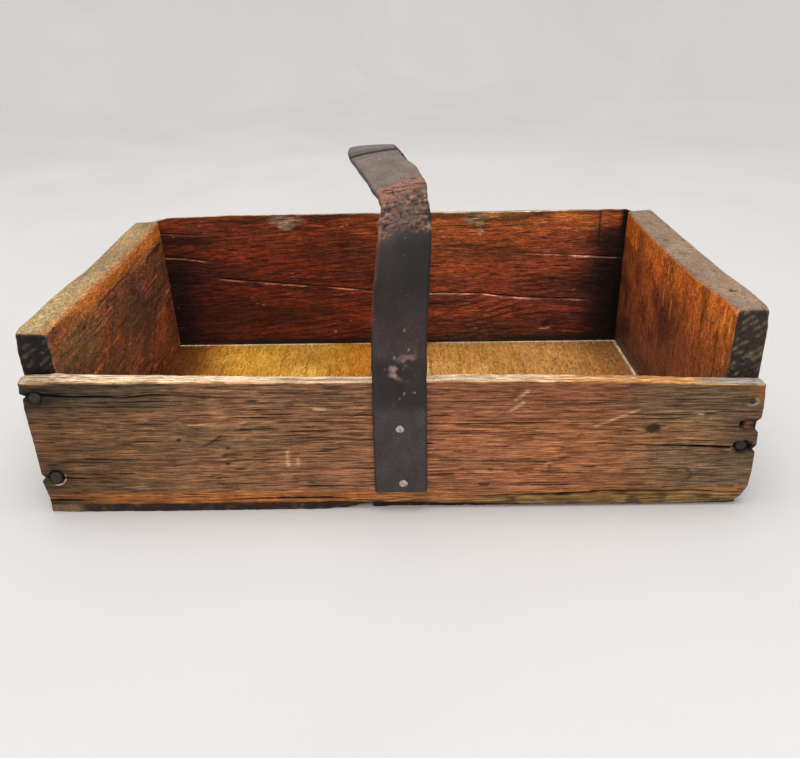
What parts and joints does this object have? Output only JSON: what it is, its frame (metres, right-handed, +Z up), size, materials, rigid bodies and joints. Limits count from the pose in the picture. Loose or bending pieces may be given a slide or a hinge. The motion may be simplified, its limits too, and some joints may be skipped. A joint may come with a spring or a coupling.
{
  "type": "seed corn hand planting box",
  "caption": "Open wooden seed corn box with thick nailed end boards, a low front board, a thin bottom and an arched leather strap handle over the middle.",
  "frame": {"origin": "middle of the box's underside, on the surface that it stands on", "axes": "+X along the box to the right seen from its low front board, +Y from the front board to the back board, +Z up"},
  "size_m": [0.424, 0.2714, 0.1959],
  "materials": {
    "wood_front": "weathered brown softwood, worn and oiled, grey at its left end",
    "wood_back": "dark red-brown aged wood with long grain cracks",
    "wood_end": "orange-brown aged wood with sooty end grain and pale worn tops",
    "wood_floor": "golden ochre inside, dark rough edges and underside",
    "strap_leather": "black harness leather, cracked brown at the bend, satin",
    "nail_iron": "dark rusted iron",
    "tack_steel": "worn bright steel, slightly rusty"
  },
  "bodies": {
    "root": {"front_board": "wood_front", "back_board": "wood_back", "left_end_board": "wood_end", "right_end_board": "wood_end", "bottom_board_left": "wood_floor", "bottom_board_right": "wood_floor", "strap_front_tab": "strap_leather", "strap_rear_tab": "strap_leather", "front_left_upper_nail": "nail_iron", "front_left_lower_nail": "nail_iron", "front_right_small_nail": "nail_iron", "front_right_sunken_nail": "nail_iron", "back_left_nails": "nail_iron", "back_right_nails": "nail_iron", "bottom_front_nails": "nail_iron", "bottom_back_nails": "nail_iron", "bottom_left_nails": "nail_iron", "bottom_right_nails": "nail_iron", "strap_front_tacks": "tack_steel", "strap_rear_tacks": "tack_steel"},
    "front_leg": {"strap_front_leg": "strap_leather"},
    "grip": {"strap_grip": "strap_leather"},
    "rear_leg": {"strap_rear_leg": "strap_leather"}
  },
  "joints": [
    {"name": "handle_sway", "type": "hinge", "parent": "root", "child": "front_leg", "pos_m": [0.0049, -0.1325, 0.087], "axis": [1, 0, 0], "range_deg": [-5, 5], "stiffness_Nm_per_rad": 0.5},
    {"name": "front_bend_flex", "type": "hinge", "parent": "front_leg", "child": "grip", "pos_m": [0.00908, -0.09931, 0.16992], "axis": [1, 0, 0], "range_deg": [-9.2, 9.2]},
    {"name": "rear_bend_flex", "type": "hinge", "parent": "grip", "child": "rear_leg", "pos_m": [-0.00616, 0.0634, 0.17728], "axis": [1, 0, 0], "range_deg": [-11.4, 11.4]}
  ],
  "couplings": [
    {"joint": "front_bend_flex", "follows": "handle_sway", "ratio": -1.817},
    {"joint": "rear_bend_flex", "follows": "handle_sway", "ratio": 2.2604}
  ]
}
